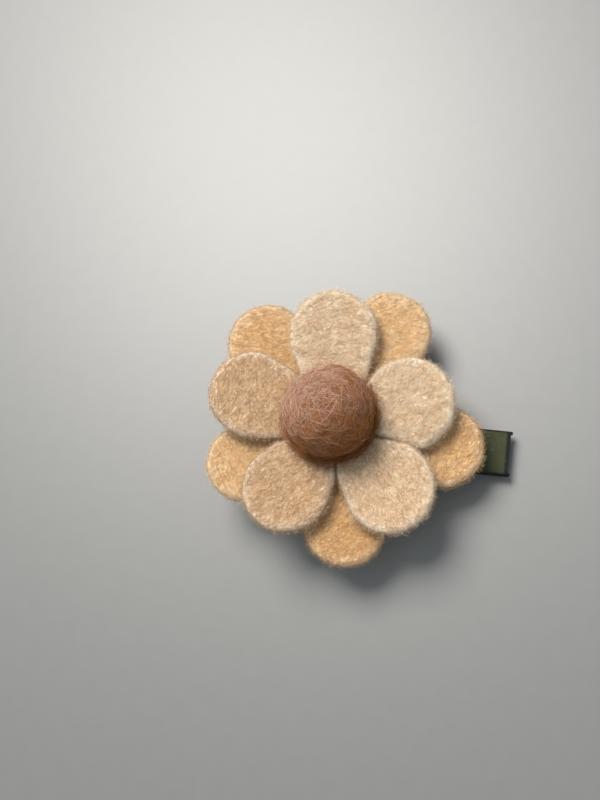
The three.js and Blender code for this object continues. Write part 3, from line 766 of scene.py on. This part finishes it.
for number, (count, thickness, mix) in enumerate((
    (3200, 0.04, (0.34, 0.36, 0.22, 0.06, 0.02)),
    (2600, 0.045, (0.16, 0.3, 0.28, 0.18, 0.08)),
    (1900, 0.052, (0.06, 0.24, 0.28, 0.26, 0.16)),
)):
    rng = np.random.default_rng(40 + number)
    many = 2 * count
    axis = rng.normal(size=(many, 3))
    axis[:, 2] += np.where(rng.random(many) < 0.5, 3.5, 0.4)
    axis /= np.linalg.norm(axis, axis=1, keepdims=True)
    east = np.cross(axis, rng.normal(size=(many, 3)))
    east /= np.linalg.norm(east, axis=1, keepdims=True)
    north = np.cross(axis, east)
    opening = np.arccos(rng.uniform(-0.3, 0.97, many))[:, None]
    length = rng.uniform(2.0, 9.0, (many, 1))
    sweep = np.clip(length / (ball_radius * np.sin(opening)), 0.1, 2.6)
    share = np.linspace(0, 1, WOUND_STEPS)
    angle = rng.uniform(0, 2 * math.pi, (many, 1)) + sweep * share
    opening = opening + rng.normal(size=(many, 1)) * 0.12 * (share - 0.5)
    opening = opening + rng.normal(size=(many, 1)) * 0.05 * np.sin(2 * math.pi * share)
    circle = np.cos(angle)[..., None] * east[:, None] + np.sin(angle)[..., None] * north[:, None]
    way = np.cos(opening)[..., None] * axis[:, None] + np.sin(opening)[..., None] * circle
    keep = np.flatnonzero(way[..., 2].min(1) > WOUND_DOWN_TO)[:count]
    proud = (0.04 + 0.05 * number + rng.uniform(0, 0.12, (len(keep), 1))) * np.sin(math.pi * share)
    paths = on_ball(way[keep], proud - 0.01)
    fibres = strands(
        f"wool_ball_winding_{number + 1}", rng, paths, thickness, wool, mix,
        wool_order(rng, way[keep, WOUND_STEPS // 2]), axis[keep],
    )
    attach(fibres, steady)

# Loose fibres curl off the ball, and a skirt of them spreads from its base over the petals.
rng = np.random.default_rng(50)
way = rng.normal(size=(2 * LOOSE_FIBRES, 3))
way /= np.linalg.norm(way, axis=1, keepdims=True)
way = way[way[:, 2] > LOOSE_DOWN_TO][:LOOSE_FIBRES]
along = np.cross(way, rng.normal(size=way.shape))
along /= np.linalg.norm(along, axis=1, keepdims=True)
share = np.linspace(0, 1, LOOSE_STEPS)[:, None]
length = np.clip(rng.gamma(2.0, 0.4, len(way)), 0.3, 2.2)[:, None, None]
stand = rng.uniform(0.1, 0.75, len(way))[:, None, None]
curl = np.cross(along, way)[:, None] * rng.normal(size=(len(way), 1, 1)) * 0.35
paths = along[:, None] * share + way[:, None] * stand * share * (1.5 - share) + curl * share**2
paths = on_ball(way)[:, None] + length * paths
share = share.T
first = rng.uniform(0, 2 * math.pi, (SKIRT_FIBRES, 1))
bearing = first + 0.4 * rng.normal(size=(SKIRT_FIBRES, 1)) * share
outward = np.clip(rng.gamma(3, 0.32, (SKIRT_FIBRES, 1)), 0.15, 2.0) * share
reach = ball_radius * rng.uniform(0.86, 0.98, (SKIRT_FIBRES, 1)) + outward
begins = rng.uniform(0.1, 2.6, (SKIRT_FIBRES, 1))
falls = rng.uniform(-0.2, 0.8, (SKIRT_FIBRES, 1)) * share
level = begins * (1 - falls) - BALL_BELOW + 0.1
skirt = np.stack([reach * np.cos(bearing), reach * np.sin(bearing), level], -1) + ball_middle
# The skirt's fibres count as facing down, so they take deeper tones as painted shade under the
# ball.
around_base = np.column_stack([np.cos(first), np.sin(first), 0 * first - 1.5])
loose_order = wool_order(rng, np.concatenate([way, around_base]))
loose = strands(
    "wool_ball_loose_fibres", rng, np.concatenate([paths, skirt]), LOOSE_THICKNESS, wool,
    (0.15, 0.36, 0.22, 0.15, 0.12), loose_order,
)
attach(loose, steady)

# ---- Table, light and camera ---------------------------------------------------------------------
# A satin grey melamine laminate table with a faint speckle, lit by the room's even light and by one
# soft round window high on the left behind the flower. The window's reflection fades to the front.
TABLE = 3000
WINDOW_SIZE = 0.34  # metres, as are its place and the spot on the table that it faces
WINDOW_PLACE = (-0.17, 0.27, 0.53)
WINDOW_FACES = (-0.035, 0.072, 0)
laminate, tree, sockets = substance("pale_grey_melamine", "#787775", Roughness=0.45, IOR=1.65)
sockets["Specular IOR Level"].default_value = 0.7
where = add(tree, "TexCoord", out="Object")
speckle = add(tree, "TexNoise", {"Vector": where}, {"Scale": PER_MM / 3, "Detail": 2})
tint = add(tree, "ValToRGB", {0: speckle}, stops=[(0.3, "#777674"), (0.7, "#797876")])
tree.links.new(tint, sockets["Base Color"])
mesh = bpy.data.meshes.new("table_top")
side = TABLE / PER_MM / 2
mesh.from_pydata(
    [(-side, -side, 0), (side, -side, 0), (side, side, 0), (-side, side, 0)], [], [(0, 1, 2, 3)]
)
mesh.materials.append(laminate)
table_top = bpy.data.objects.new("table_top", mesh)
bpy.context.scene.collection.objects.link(table_top)

world = bpy.data.worlds.new("room")
world.use_nodes = True
room = world.node_tree.nodes["Background"].inputs
room["Color"].default_value = linear("#dfeaf2")
room["Strength"].default_value = 0.62
bpy.context.scene.world = world

window = bpy.data.lights.new("window", "AREA")
window.shape = "DISK"
window.size = WINDOW_SIZE
window.energy = 4.5
window.color = (1.0, 0.965, 0.905)
lamp = bpy.data.objects.new("window", window)
lamp.location = WINDOW_PLACE
lamp.rotation_mode = "QUATERNION"
facing = Vector(WINDOW_FACES) - lamp.location
lamp.rotation_quaternion = facing.to_track_quat("-Z", "Y")
bpy.context.scene.collection.objects.link(lamp)
bpy.context.scene.view_settings.view_transform = "Standard"

# The camera looks down on the clip's plate, leaning 12 degrees to the front and 7 to the nose.
LENS = 51.03
CAMERA_PLACE = (21.0, -35.35, 198.6)  # in the flower's directions
LEAN_FRONT, LEAN_NOSE, ROLL = (math.radians(a) for a in (12, 7, 5.7))
right = np.array([math.cos(ROLL), math.sin(ROLL), 0])
top = np.array([-math.sin(ROLL), math.cos(ROLL), 0])
back = math.tan(LEAN_NOSE) * right - math.tan(LEAN_FRONT) * top + [0, 0, 1]
back /= np.linalg.norm(back)
right -= (right @ back) * back
right /= np.linalg.norm(right)
axes = np.array([right, np.cross(back, right), back]) @ directions
camera = bpy.data.objects.new("camera", bpy.data.cameras.new("camera"))
camera.data.lens = LENS
camera.data.clip_start = 0.01
camera.matrix_world = Matrix.Translation(on_table(CAMERA_PLACE)) @ Matrix(axes.T).to_4x4()
bpy.context.scene.collection.objects.link(camera)
bpy.context.scene.camera = camera
